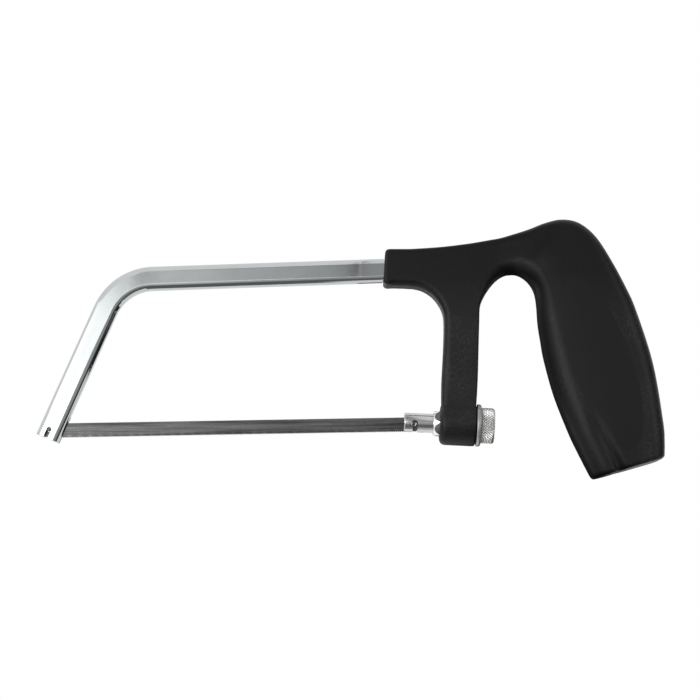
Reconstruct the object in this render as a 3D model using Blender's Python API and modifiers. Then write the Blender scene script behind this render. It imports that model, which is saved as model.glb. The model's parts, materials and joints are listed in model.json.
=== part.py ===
"""Mini hacksaw: bent steel frame, cast pistol-grip handle, pinned blade and a screw tensioner.

Units are metres, +Z is up. X runs along the blade towards the handle and Y is the thickness.
Places are first given from the front blade pin; the root empty then puts the middle of the
hand grip on the world origin.
"""
import math

import bmesh
import bpy
from mathutils import Matrix, Vector

MM = 0.001
GAP = 0.3 * MM                      # clearance between neighbouring pieces

# Blade
PIN_SPACING = 150 * MM              # blade length, pin to pin
BLADE_OVERHANG = 2 * MM             # blade past each pin
BLADE_HEIGHT = 6 * MM
BLADE_DROP = 0.4 * MM               # middle of the strip under the pins
BLADE_THICKNESS = 0.65 * MM
TOOTH_PITCH = 0.794 * MM            # 32 teeth to the inch
TOOTH_DEPTH = 0.45 * MM
PIN_RADIUS = 0.7 * MM
PIN_LENGTH = 5.6 * MM
PIN_CHAMFER = 0.14 * MM
TOOTH_LEAN = 0.2                    # tooth tip behind its gullet, as a share of the pitch
BLADE_CORNER = 1 * MM               # radius of the two upper corners

# Frame bar
BAR_HEIGHT = 10.2 * MM
BAR_THICKNESS = 6 * MM
BAR_EDGE_RADIUS = 2.6 * MM
LEG_ANGLE = math.radians(66)        # leg above the blade line
LEG_AXIS_X = 0.7 * MM               # leg axis, ahead of the front pin on the blade line
BAR_RISE = math.radians(1)          # top bar above the blade line
CORNER_HEIGHT = 62.3 * MM           # where the leg and bar axes meet
BEND_RADIUS = 22 * MM
TIP_BELOW_PIN = 4 * MM              # leg past the front pin
KERF_DEPTH = 12 * MM                # saw cut that takes the blade
TANG_LENGTH = 32 * MM               # bar inside the handle
TANG_STEP = 0.5 * MM                # the tang is this much smaller all round, behind a shoulder
FRAME_PIN_RADIUS = 1.5 * MM
FRAME_PIN_NEAR = 4.8 * MM           # pin end inside the near wall of the handle
FRAME_PIN_FAR = 6.3 * MM            # pin end at the far side, just under the surface
FRAME_PIN_CHAMFER = 0.4 * MM
FRAME_PIN_PLACES = (0.28, 0.69)     # pins behind the socket mouth, as shares of the tang

# Tensioner: lengths run along the stud's axis from the rear blade pin, towards the nut
STUD_TILT = math.radians(3.5)       # axis drops towards the nut
STUD_ABOVE_PIN = 0.4 * MM
BARREL_RADIUS = 3.9 * MM
BARREL_FRONT = 4.1 * MM             # barrel ahead of the rear pin
BARREL_END = 8 * MM
BARREL_CHAMFER = 0.5 * MM
STUD_KERF_END = 4 * MM
HOOK_STEP = 0.5 * MM                # sideways step of the notch that hooks the pin
HEX_ACROSS_FLATS = 10 * MM
HEX_LENGTH = 9.4 * MM
SHANK_RADIUS = 3 * MM
THREAD_PITCH = 1 * MM
THREAD_DEPTH = 0.55 * MM
BOSS_START = 10.6 * MM
BOSS_LENGTH = 14.8 * MM
BOSS_RADIUS = 8.7 * MM
BOSS_FRONT_EDGE = 2.3 * MM          # rounding of the boss's rim, at the front and at the rear
BOSS_REAR_EDGE = 0.7 * MM
HEX_POCKET_DEPTH = 9.2 * MM
WASHER_RADIUS = 8.7 * MM
WASHER_THICKNESS = 1.8 * MM
WASHER_RIM = 0.6 * MM               # rounding of the washer's outer rim
NUT_RADIUS = 7.4 * MM
NUT_LENGTH = 5.2 * MM
NUT_EDGE = 0.8 * MM
KNURL_DEPTH = 0.35 * MM
KNURL_COLUMNS = 72                  # crests and valleys round the nut
KNURL_ROWS = 8
SHANK_SHORT_OF_NUT = 0.8 * MM       # shank end inside the nut's outer face

# Handle: places are from the rear pin's X and the bar's axis at the socket mouth.
# Each station: lower edge (x, z), upper edge (x, z), half thickness, lower and upper edge radius.
HANDLE_UNIT = 1 * MM                # length of one unit in the stations
HANDLE_STATIONS = [
    ((-11.7, -6.5), (-10.5, 8.3), 6.6, 2.4, 1.5),
    ((-0.6, -7.1), (-0.3, 8.2), 6.6, 2.4, 1.5),
    ((10.0, -6.0), (12.1, 8.8), 6.6, 2.4, 1.5),
    ((22.0, -4.6), (24.5, 10.1), 6.6, 2.4, 1.6),
    ((33.0, -3.5), (35.5, 11.8), 6.8, 2.6, 1.9),
    ((40.7, -2.4), (43.0, 13.7), 7.6, 3.2, 2.4),
    ((44.2, -2.4), (49.6, 15.6), 8.6, 4.0, 3.0),
    ((47.3, -3.9), (55.9, 17.9), 9.6, 4.8, 3.6),
    ((49.9, -6.5), (62.9, 19.2), 10.6, 5.8, 4.2),
    ((51.7, -10.0), (70.0, 17.6), 11.5, 6.6, 4.8),
    ((52.4, -15.1), (76.8, 11.6), 12.3, 7.4, 5.4),
    ((52.7, -23.0), (82.9, 1.5), 12.8, 8.2, 6.0),
    ((53.6, -30.5), (88.5, -9.8), 13.0, 8.6, 6.6),
    ((54.7, -38.1), (92.5, -19.8), 13.0, 8.8, 7.0),
    ((58.3, -53.1), (98.5, -41.7), 12.9, 8.8, 7.0),
    ((63.7, -68.2), (101.6, -65.5), 12.6, 8.2, 6.4),
    ((67.0, -75.9), (101.9, -73.9), 12.4, 7.8, 6.0),
    ((72.9, -88.4), (101.5, -80.8), 12.0, 7.2, 5.4),
]
GRIP_START = 8                      # the sides bulge from this station on
GRIP_CROWN = 0.7 * MM               # how far they bulge
GRIP_MIDDLE = (79, -34.5)           # middle of the grip
# The post's stations run from the boss up into the handle's top. The left edge's x is from the
# boss's front face, the right edge's from its rear face; then comes the half thickness.
POST_STATIONS = [
    ((1.1, -49.2), (1.0, -49.2), 5.5),
    ((2.2, -34.2), (1.8, -34.2), 6.0),
    ((2.7, -23.0), (2.4, -22.7), 6.4),
    ((2.3, -18.2), (2.8, -16.9), 6.57),
    ((0.6, -14.3), (4.2, -13.0), 6.57),
    ((-2.1, -10.9), (6.4, -9.2), 6.57),
    ((-5.6, -8.5), (9.4, -5.6), 6.5),
    ((-8.8, -7.45), (12.3, -3.45), 6.3),
    ((-13.0, -6.8), (16.3, -2.0), 5.6),
    ((-13.0, -4.3), (16.3, 0.3), 6.4),
]
POST_FOOT = (0.9, -0.5, 5.0)        # the same at the height of the stud's axis
POST_EDGE = 2.2 * MM                # edge radius of the post
END_ROUNDING = 1.2 * MM             # rounding of the socket mouth and the butt

ARC_STEPS = 4                       # facets of a quarter round
SIDE_STEPS = 4                      # facets along a flat side
ROUND = 32                          # facets of a full round
PIN_ROUND = 20                      # the same on a pin
THREAD_ROUND = 24                   # the same on a thread
CHAMFER_ROUND = 30                  # the same on the hex's chamfer, whose edges miss the hex's corners
BEND_STEPS = 10                     # facets along the bend of the bar
SUBSTEPS = 2                        # rings from one station to the next
LEAST_RADIUS = 0.15 * MM            # edge radius that is left where an end is rounded
MERGE_DISTANCE = 0.01 * MM          # points of a turned piece that are nearer than this are one

# Worked-out places
REAR_PIN_X = PIN_SPACING
CORNER_X = LEG_AXIS_X + CORNER_HEIGHT / math.tan(LEG_ANGLE)
SOCKET_X = REAR_PIN_X + HANDLE_STATIONS[0][0][0] * HANDLE_UNIT
SOCKET_Z = CORNER_HEIGHT + (SOCKET_X - CORNER_X) * math.tan(BAR_RISE)
HANDLE_AT = Vector((REAR_PIN_X, 0, SOCKET_Z))
GRIP_AT = HANDLE_AT + Vector((GRIP_MIDDLE[0], 0, GRIP_MIDDLE[1])) * HANDLE_UNIT
BOSS_END = BOSS_START + BOSS_LENGTH
WASHER_START = BOSS_END + GAP
NUT_START = WASHER_START + WASHER_THICKNESS + GAP
NUT_END = NUT_START + NUT_LENGTH
SHANK_START = BARREL_END + HEX_LENGTH
SHANK_END = NUT_END - SHANK_SHORT_OF_NUT
SHANK_BORE = SHANK_RADIUS + GAP


# Scene and materials

def clear_scene():
    for thing in list(bpy.data.objects):
        bpy.data.objects.remove(thing, do_unlink=True)
    for group in list(bpy.data.collections):
        bpy.data.collections.remove(group)


def collection(name, hidden=False):
    group = bpy.data.collections.new(name)
    bpy.context.scene.collection.children.link(group)
    group.hide_render = hidden
    return group


def material(name, colour, metallic, roughness):
    mat = bpy.data.materials.new(name)
    mat.use_nodes = True
    shader = mat.node_tree.nodes["Principled BSDF"]
    shader.inputs["Base Color"].default_value = (*colour, 1)
    shader.inputs["Metallic"].default_value = metallic
    shader.inputs["Roughness"].default_value = roughness
    return mat


clear_scene()
PARTS = collection("mini_hacksaw")
CUTTERS = collection("cutters", hidden=True)


def empty(name, parent, location, rotation=(0, 0, 0)):
    thing = bpy.data.objects.new(name, None)
    CUTTERS.objects.link(thing)
    thing.parent = parent
    thing.location = location
    thing.rotation_euler = rotation
    return thing


def add(name, bm, parent, location=(0, 0, 0), mat=None, cutter=False):
    """Turn a bmesh into an object: a part with a material, or a hidden cutter."""
    bmesh.ops.recalc_face_normals(bm, faces=bm.faces)
    mesh = bpy.data.meshes.new(name)
    bm.to_mesh(mesh)
    bm.free()
    thing = bpy.data.objects.new(name, mesh)
    (CUTTERS if cutter else PARTS).objects.link(thing)
    thing.parent = parent
    thing.location = location
    if cutter:
        thing.hide_render = True
        thing.display_type = "WIRE"
    else:
        mesh.materials.append(mat)
    return thing


def boolean(thing, operand, operation="DIFFERENCE"):
    step = thing.modifiers.new(operation.lower() + "_" + operand.name, "BOOLEAN")
    step.operation = operation
    step.object = operand
    step.solver = "EXACT"


# Shapes

def loft(rings):
    """Closed solid through rings that all have the same number of points."""
    bm = bmesh.new()
    loops = [[bm.verts.new(point) for point in ring] for ring in rings]
    count = len(loops[0])
    for near, far in zip(loops, loops[1:]):
        for i in range(count):
            j = (i + 1) % count
            bm.faces.new((near[i], near[j], far[j], far[i]))
    bm.faces.new(reversed(loops[0]))
    bm.faces.new(loops[-1])
    return bm


def prism(outline, depth):
    """Outline in X and Z, pulled out along Y on both sides of the middle plane."""
    bm = bmesh.new()
    face = bm.faces.new([bm.verts.new((x, -depth / 2, z)) for x, z in outline])
    pulled = bmesh.ops.extrude_face_region(bm, geom=[face], use_keep_orig=True)["geom"]
    moved = [item for item in pulled if isinstance(item, bmesh.types.BMVert)]
    bmesh.ops.translate(bm, verts=moved, vec=(0, depth, 0))
    return bm


def box(low, high):
    low, high = Vector(low), Vector(high)
    bm = bmesh.new()
    bmesh.ops.create_cube(bm, size=1)
    bmesh.ops.scale(bm, verts=bm.verts, vec=high - low)
    bmesh.ops.translate(bm, verts=bm.verts, vec=(low + high) / 2)
    return bm


def cylinder(radius, start, end, sides=ROUND):
    """Straight rod about Z from one height to another."""
    bm = bmesh.new()
    middle = Matrix.Translation((0, 0, (start + end) / 2))
    bmesh.ops.create_cone(bm, cap_ends=True, segments=sides, radius1=radius, radius2=radius,
                          depth=end - start, matrix=middle)
    return bm


def crosswise(bm):
    """Turn a shape that stands along Z to lie along Y."""
    bmesh.ops.rotate(bm, verts=bm.verts, matrix=Matrix.Rotation(-math.pi / 2, 3, "X"))
    return bm


def turned(name, profile, parent, location=(0, 0, 0), axis="Z", sides=ROUND, **kind):
    """Turned piece: (radius, height) points under a Screw modifier, closed up if clear of the axis."""
    bm = bmesh.new()
    up = Vector((0, 0, 1)) if axis == "Z" else Vector((0, 1, 0))
    spots = [bm.verts.new(Vector((radius, 0, 0)) + up * height) for radius, height in profile]
    after = spots[1:] + (spots[:1] if profile[0][0] > 0 else [])
    for spot, following in zip(spots, after):
        bm.edges.new((spot, following))
    thing = add(name, bm, parent, location, **kind)
    screw = thing.modifiers.new("turn", "SCREW")
    screw.axis = axis
    screw.steps = sides
    screw.render_steps = sides
    screw.use_merge_vertices = True
    screw.merge_threshold = MERGE_DISTANCE
    screw.use_normal_calculate = True
    return thing


def rod(radius, start, end, chamfer):
    """Turned profile of a rod with chamfered ends."""
    return [(0, end), (radius - chamfer, end), (radius, end - chamfer),
            (radius, start + chamfer), (radius - chamfer, start), (0, start)]


def ring_solid(profiles):
    """Solid round a bore about Z: one closed (radius, height) profile for each column."""
    bm = bmesh.new()
    loops = []
    for i, profile in enumerate(profiles):
        turn = 2 * math.pi * i / len(profiles)
        loops.append([bm.verts.new((r * math.cos(turn), r * math.sin(turn), h)) for r, h in profile])
    for near, far in zip(loops, loops[1:] + loops[:1]):
        for k in range(len(near)):
            n = (k + 1) % len(near)
            bm.faces.new((near[k], far[k], far[n], near[n]))
    return bm


def arc(centre, radius, start, end, steps):
    """Points on an arc in a plane, angles in radians."""
    points = []
    for i in range(steps + 1):
        a = start + (end - start) * i / steps
        points.append((centre[0] + radius * math.cos(a), centre[1] + radius * math.sin(a)))
    return points


def rounded_section(height, half, low_radius, high_radius, crown=0, inset=0):
    """Ring of (along, y) points: a rounded rectangle that may bulge at its sides."""
    half = half - inset
    top = height - inset
    low_radius = max(low_radius - inset, LEAST_RADIUS)
    high_radius = max(high_radius - inset, LEAST_RADIUS)
    side = [(inset, 0)]
    side += arc((inset + low_radius, half - low_radius), low_radius, math.pi, math.pi / 2, ARC_STEPS)
    start, end = inset + low_radius, top - high_radius
    for i in range(1, SIDE_STEPS):
        f = i / SIDE_STEPS
        side.append((start + (end - start) * f, half + 4 * crown * f * (1 - f)))
    side += arc((top - high_radius, half - high_radius), high_radius, math.pi / 2, 0, ARC_STEPS)
    side.append((top, 0))
    return side + [(along, -y) for along, y in reversed(side[1:-1])]


def station_ring(station, inset=0, shift=Vector((0, 0, 0))):
    """Section of the handle between a lower and an upper edge point."""
    low, high, half, low_radius, high_radius, crown = station
    along = (high - low).normalized()
    points = rounded_section((high - low).length, half, low_radius, high_radius, crown, inset)
    return [low + along * a + Vector((0, y, 0)) + shift for a, y in points]


def blend(before, start, end, after, f):
    """Smooth curve from start to end that leaves and arrives along its neighbours."""
    a = (end - before) / 2
    b = (after - start) / 2
    h1 = 2 * f ** 3 - 3 * f ** 2 + 1
    h2 = f ** 3 - 2 * f ** 2 + f
    h3 = -2 * f ** 3 + 3 * f ** 2
    h4 = f ** 3 - f ** 2
    return start * h1 + a * h2 + end * h3 + b * h4


def smooth_stations(stations, steps):
    """Add stations between those given, on smooth curves through them."""
    last = len(stations) - 1
    out = []
    for i in range(last):
        four = [stations[max(i - 1, 0)], stations[i], stations[i + 1], stations[min(i + 2, last)]]
        for k in range(steps):
            out.append([blend(*values, k / steps) for values in zip(*four)])
    out.append(list(stations[last]))
    return out


def rounded_ends(stations, rounding):
    """Rings through the stations, with the rims of both ends rounded off."""
    first, second = stations[0], stations[1]
    last, previous = stations[-1], stations[-2]
    into = ((second[0] + second[1]) - (first[0] + first[1])).normalized()
    back = ((previous[0] + previous[1]) - (last[0] + last[1])).normalized()
    turns = [math.pi / 2 * i / 3 for i in range(3)]
    rings = []
    for a in turns:
        rings.append(station_ring(first, rounding * (1 - math.sin(a)), into * rounding * (1 - math.cos(a))))
    rings.append(station_ring(first, 0, into * rounding))
    rings += [station_ring(station) for station in stations[1:-1]]
    rings.append(station_ring(last, 0, back * rounding))
    for a in reversed(turns):
        rings.append(station_ring(last, rounding * (1 - math.sin(a)), back * rounding * (1 - math.cos(a))))
    return rings


def threaded(start, end, radius, depth, pitch, sides=THREAD_ROUND):
    """Shank with a screw thread about Z: rows of crests and roots that climb a pitch each turn."""
    bm = bmesh.new()
    root = radius - depth
    turns = int((end - start) / pitch) - 2
    rows = 2 * turns
    lead_in = start + pitch

    def spot(i, height, r):
        a = 2 * math.pi * i / sides
        return bm.verts.new((r * math.cos(a), r * math.sin(a), height))

    bottom = [spot(i, start, root) for i in range(sides)]
    top = [spot(i, end, root) for i in range(sides)]
    grid = {}
    for i in range(sides):
        for j in range(rows + (3 if i == 0 else 1)):
            r = radius if j % 2 else root
            grid[i, j] = spot(i, lead_in + pitch * (i / sides + j / 2), r)
    for j in range(rows + 3):
        if (0, j + 2) in grid:
            grid[sides, j] = grid[0, j + 2]
    for j in range(rows):
        for i in range(sides):
            bm.faces.new((grid[i, j], grid[i + 1, j], grid[i + 1, j + 1], grid[i, j + 1]))
    end_row = rows
    for i in range(sides - 1):
        bm.faces.new((bottom[i], bottom[i + 1], grid[i + 1, 0], grid[i, 0]))
    for i in range(1, sides):
        bm.faces.new((grid[i, end_row], grid[i + 1, end_row], top[(i + 1) % sides], top[i]))
    bm.faces.new((bottom[-1], bottom[0], grid[0, 0]))
    bm.faces.new((bottom[-1], grid[0, 0], grid[0, 2]))
    bm.faces.new((bottom[-1], grid[0, 2], grid[sides - 1, 0]))
    bm.faces.new((grid[0, 0], grid[0, 1], grid[0, 2]))
    bm.faces.new((grid[0, end_row], grid[1, end_row], top[1]))
    bm.faces.new((grid[0, end_row], top[1], grid[0, end_row + 2]))
    bm.faces.new((grid[0, end_row + 2], top[1], top[0]))
    bm.faces.new((grid[0, end_row], grid[0, end_row + 2], grid[0, end_row + 1]))
    bm.faces.new(reversed(bottom))
    bm.faces.new(top)
    return bm


# Frames that the pieces hang on

saw = empty("saw", None, -GRIP_AT)
leg_frame = empty("leg_frame", saw, (0, 0, 0), (0, math.pi / 2 - LEG_ANGLE, 0))
tension_axis = empty("tension_axis", saw, (REAR_PIN_X, 0, STUD_ABOVE_PIN), (0, math.pi / 2 + STUD_TILT, 0))


def stud_drop(distance):
    """Height of the stud's axis over the blade line, at a distance behind the rear pin."""
    return STUD_ABOVE_PIN - distance * math.tan(STUD_TILT)


def handle_point(place, start=0):
    """A station's point; start moves it along X, for what is measured from the boss."""
    return HANDLE_AT + Vector((place[0], 0, place[1])) * HANDLE_UNIT + Vector((start, 0, 0))


# Frame bar

def bar_ring(point, angle, grow=0):
    """Section of the bar across its axis; grow widens or narrows it."""
    across = Vector((-math.sin(angle), 0, math.cos(angle)))
    size = BAR_HEIGHT + 2 * grow
    points = rounded_section(size, BAR_THICKNESS / 2 + grow, BAR_EDGE_RADIUS + grow, BAR_EDGE_RADIUS + grow)
    return [point + across * (a - size / 2) + Vector((0, y, 0)) for a, y in points]


LEG_WAY = Vector((math.cos(LEG_ANGLE), 0, math.sin(LEG_ANGLE)))
BAR_WAY = Vector((math.cos(BAR_RISE), 0, math.sin(BAR_RISE)))
SOCKET_AT = Vector((SOCKET_X, 0, SOCKET_Z))


def shoulder_ring(grow=0):
    """Section of the bar where it meets the slanted mouth of the socket."""
    low, high = [handle_point(place) for place in HANDLE_STATIONS[0][:2]]
    lean = (high.x - low.x) / (high.z - low.z)
    ring = []
    for point in bar_ring(SOCKET_AT, BAR_RISE, grow):
        way = low.x + lean * (point.z - low.z) - GAP - point.x
        ring.append(point + BAR_WAY * way)
    return ring


def make_bar(mat):
    corner = Vector((CORNER_X, 0, CORNER_HEIGHT))
    tangent = BEND_RADIUS * math.tan((LEG_ANGLE - BAR_RISE) / 2)
    leg_end = corner - LEG_WAY * tangent
    inward = Vector((math.sin(LEG_ANGLE), 0, -math.cos(LEG_ANGLE)))
    centre = leg_end + inward * BEND_RADIUS
    rings = [bar_ring(Vector((LEG_AXIS_X, 0, 0)) - LEG_WAY * TIP_BELOW_PIN, LEG_ANGLE)]
    for i in range(BEND_STEPS + 1):
        angle = LEG_ANGLE + (BAR_RISE - LEG_ANGLE) * i / BEND_STEPS
        rings.append(bar_ring(centre + Vector((-math.sin(angle), 0, math.cos(angle))) * BEND_RADIUS, angle))
    rings += [shoulder_ring(), shoulder_ring(-TANG_STEP)]
    rings.append(bar_ring(SOCKET_AT + BAR_WAY * TANG_LENGTH, BAR_RISE, -TANG_STEP))
    bar = add("frame_bar", loft(rings), saw, mat=mat)

    reach = 2 * BAR_HEIGHT
    slit = BLADE_THICKNESS / 2 + GAP
    kerf = box((-reach, -slit, -reach), (reach, slit, KERF_DEPTH - TIP_BELOW_PIN))
    boolean(bar, add("cut_tip_kerf", kerf, leg_frame, cutter=True))
    wide = PIN_RADIUS + GAP
    slot = [(-wide, -reach), (wide, -reach)] + arc((0, 0), wide, 0, math.pi, 8)
    boolean(bar, add("cut_tip_slot", prism(slot, reach), leg_frame, cutter=True))
    return bar


# Handle

def make_handle(mat):
    stations = []
    for i, (low, high, *sizes) in enumerate(HANDLE_STATIONS):
        crown = GRIP_CROWN if i >= GRIP_START else 0
        stations.append([handle_point(low), handle_point(high), *[v * HANDLE_UNIT for v in sizes], crown])
    body = rounded_ends(smooth_stations(stations, SUBSTEPS), END_ROUNDING)
    handle = add("handle", loft(body), saw, mat=mat)

    left, right, half = [v * HANDLE_UNIT for v in POST_FOOT]
    foot = stud_drop((BOSS_START + BOSS_END) / 2)
    low = Vector((REAR_PIN_X + BOSS_START + left, 0, foot))
    high = Vector((REAR_PIN_X + BOSS_END + right, 0, foot))
    stations = [[low, high, half, POST_EDGE, POST_EDGE, 0]]
    for left, right, half in POST_STATIONS:
        low, high = handle_point(left, BOSS_START), handle_point(right, BOSS_END)
        stations.append([low, high, half * HANDLE_UNIT, POST_EDGE, POST_EDGE, 0])
    rings = [station_ring(station) for station in smooth_stations(stations, SUBSTEPS)]
    boolean(handle, add("join_post", loft(rings), saw, cutter=True), "UNION")

    rear, front = BOSS_REAR_EDGE, BOSS_FRONT_EDGE
    profile = [(0, BOSS_END)]
    profile += arc((BOSS_RADIUS - rear, BOSS_END - rear), rear, math.pi / 2, 0, ARC_STEPS)
    profile += arc((BOSS_RADIUS - front, BOSS_START + front), front, 0, -math.pi / 2, ARC_STEPS)
    profile += [(0, BOSS_START)]
    boolean(handle, turned("join_boss", profile, tension_axis, cutter=True), "UNION")

    room = GAP - TANG_STEP
    pocket = [bar_ring(SOCKET_AT - BAR_WAY * TANG_LENGTH / 4, BAR_RISE, room)]
    pocket.append(bar_ring(SOCKET_AT + BAR_WAY * (TANG_LENGTH + GAP), BAR_RISE, room))
    boolean(handle, add("cut_socket", loft(pocket), saw, cutter=True))

    corner = (HEX_ACROSS_FLATS / 2 + GAP) / math.cos(math.pi / 6)
    depth = BOSS_START + HEX_POCKET_DEPTH
    hollow = cylinder(corner, BOSS_START - BOSS_LENGTH / 4, depth, 6)
    boolean(handle, add("cut_hex_pocket", hollow, tension_axis, cutter=True))
    bore = cylinder(SHANK_BORE, depth - GAP, BOSS_END + BOSS_LENGTH / 4)
    boolean(handle, add("cut_shank_bore", bore, tension_axis, cutter=True))
    return handle


def make_frame_pins(bar, handle, mat):
    names = ("frame_pin_front", "frame_pin_rear")
    for name, behind in zip(names, FRAME_PIN_PLACES):
        place = SOCKET_AT + BAR_WAY * TANG_LENGTH * behind
        wide = FRAME_PIN_RADIUS + GAP
        through = crosswise(cylinder(wide, -BAR_HEIGHT, BAR_HEIGHT, PIN_ROUND))
        boolean(bar, add("cut_bar_" + name, through, saw, place, cutter=True))
        blind = crosswise(cylinder(wide, -FRAME_PIN_NEAR - GAP, 2 * FRAME_PIN_FAR, PIN_ROUND))
        boolean(handle, add("cut_handle_" + name, blind, saw, place, cutter=True))
        profile = rod(FRAME_PIN_RADIUS, -FRAME_PIN_NEAR, FRAME_PIN_FAR, FRAME_PIN_CHAMFER)
        turned(name, profile, saw, place, "Y", PIN_ROUND, mat=mat)


# Blade and its pins; the blade's origin is on the rear pin, where it swings

def make_blade(blade_mat, pin_mat):
    front, rear = -PIN_SPACING - BLADE_OVERHANG, BLADE_OVERHANG
    tip = -BLADE_HEIGHT / 2 - BLADE_DROP
    gullet, top = tip + TOOTH_DEPTH, tip + BLADE_HEIGHT
    teeth = int((rear - front) / TOOTH_PITCH) - 1
    start = (front + rear - teeth * TOOTH_PITCH) / 2
    outline = [(front, gullet)]
    for i in range(teeth):
        x = start + i * TOOTH_PITCH
        outline += [(x, gullet), (x + TOOTH_LEAN * TOOTH_PITCH, tip)]
    outline += [(start + teeth * TOOTH_PITCH, gullet), (rear, gullet)]
    shoulder = top - BLADE_CORNER
    outline += arc((rear - BLADE_CORNER, shoulder), BLADE_CORNER, 0, math.pi / 2, ARC_STEPS)
    outline += arc((front + BLADE_CORNER, shoulder), BLADE_CORNER, math.pi / 2, math.pi, ARC_STEPS)
    blade = add("saw_blade", prism(outline, BLADE_THICKNESS), saw, (REAR_PIN_X, 0, 0), blade_mat)

    wide = PIN_RADIUS + GAP
    profile = rod(PIN_RADIUS, -PIN_LENGTH / 2, PIN_LENGTH / 2, PIN_CHAMFER)
    for name, x in (("blade_pin_front", 0), ("blade_pin_rear", REAR_PIN_X)):
        hole = crosswise(cylinder(wide, -PIN_LENGTH, PIN_LENGTH, PIN_ROUND))
        boolean(blade, add("cut_" + name, hole, saw, (x, 0, 0), cutter=True))
        turned(name, profile, saw, (x, 0, 0), "Y", PIN_ROUND, mat=pin_mat)


# Tensioner: stud, washer and nut hang on the tension axis, with Z along it and X downwards

def make_stud(mat):
    into = HEX_LENGTH / 4
    profile = [(0, BARREL_END + into), (BARREL_RADIUS, BARREL_END + into)]
    profile += rod(BARREL_RADIUS, -BARREL_FRONT, BARREL_END, BARREL_CHAMFER)[3:]
    stud = turned("tension_stud", profile, tension_axis, mat=mat)

    corner = HEX_ACROSS_FLATS / 2 / math.cos(math.pi / 6)
    collar = add("join_hex", cylinder(corner, BARREL_END, SHANK_START, 6), tension_axis, cutter=True)
    slope = corner - BARREL_RADIUS
    wide, narrow = corner + slope, BARREL_RADIUS + slope / 4
    above, below = SHANK_START + slope, BARREL_END - slope / 4
    profile = [(0, above), (wide, above), (wide, BARREL_END + 1.6 * slope), (narrow, below), (0, below)]
    cone = turned("cut_hex_chamfer", profile, tension_axis, sides=CHAMFER_ROUND, cutter=True)
    boolean(collar, cone, "INTERSECT")
    boolean(stud, collar, "UNION")
    shank = threaded(SHANK_START - into, SHANK_END, SHANK_RADIUS, THREAD_DEPTH, THREAD_PITCH)
    boolean(stud, add("join_shank", shank, tension_axis, cutter=True), "UNION")

    reach = 3 * BARREL_RADIUS
    slit = BLADE_THICKNESS / 2 + GAP
    kerf = box((-reach, -slit, -reach), (reach, slit, STUD_KERF_END))
    boolean(stud, add("cut_stud_kerf", kerf, tension_axis, cutter=True))
    wide = PIN_RADIUS + GAP
    seat = STUD_ABOVE_PIN
    notch = [(reach, HOOK_STEP - wide), (reach, HOOK_STEP + wide)]
    notch += arc((seat, HOOK_STEP), wide, math.pi / 2, math.pi, 4)
    notch += arc((seat, 0), wide, math.pi, 1.5 * math.pi, 4)
    notch += [(seat + wide, -wide), (seat + wide, HOOK_STEP - wide)]
    boolean(stud, add("cut_stud_notch", prism(notch, reach), tension_axis, cutter=True))


def make_washer(mat):
    end = WASHER_START + WASHER_THICKNESS
    profile = [(SHANK_BORE, end)]
    profile += arc((WASHER_RADIUS - WASHER_RIM, end - WASHER_RIM), WASHER_RIM, math.pi / 2, 0, ARC_STEPS)
    edge = WASHER_RIM / 2
    profile += [(WASHER_RADIUS, WASHER_START + edge), (WASHER_RADIUS - edge, WASHER_START)]
    profile += [(SHANK_BORE, WASHER_START)]
    turned("thrust_washer", profile, tension_axis, mat=mat)


def make_nut(mat):
    columns = []
    low, high = NUT_START + NUT_EDGE / 2, NUT_END - NUT_EDGE
    for i in range(KNURL_COLUMNS):
        profile = [(SHANK_BORE, NUT_START), (NUT_RADIUS - NUT_EDGE, NUT_START)]
        for k in range(KNURL_ROWS + 1):
            depth = KNURL_DEPTH * ((i + k) % 2)
            profile.append((NUT_RADIUS - depth, low + (high - low) * k / KNURL_ROWS))
        profile += [(NUT_RADIUS - NUT_EDGE / 2, NUT_END - NUT_EDGE / 4), (NUT_RADIUS - NUT_EDGE, NUT_END)]
        profile += [(SHANK_BORE + NUT_EDGE / 2, NUT_END), (SHANK_BORE, NUT_END - NUT_EDGE / 2)]
        columns.append(profile)
    add("knurled_nut", ring_solid(columns), tension_axis, mat=mat)


plated = material("plated_steel", (0.62, 0.64, 0.65), 1.0, 0.28)
black = material("black_paint", (0.018, 0.018, 0.019), 0.0, 0.45)
blued = material("blade_steel", (0.20, 0.20, 0.21), 1.0, 0.38)
bright = material("bright_steel", (0.70, 0.70, 0.70), 1.0, 0.18)

frame_bar = make_bar(plated)
grip_handle = make_handle(black)
make_frame_pins(frame_bar, grip_handle, bright)
make_blade(blued, bright)
make_stud(bright)
make_washer(bright)
make_nut(bright)
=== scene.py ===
"""Looks of the mini hacksaw: fine meshes, finishes, light and camera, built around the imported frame.

Units are metres, +Z is up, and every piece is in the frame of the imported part.
"""
import json
from itertools import product
from math import atan2, cos, exp, pi, radians, sin, sqrt, tan, tau

import bmesh
import bpy
from mathutils import Matrix, Vector


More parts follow.
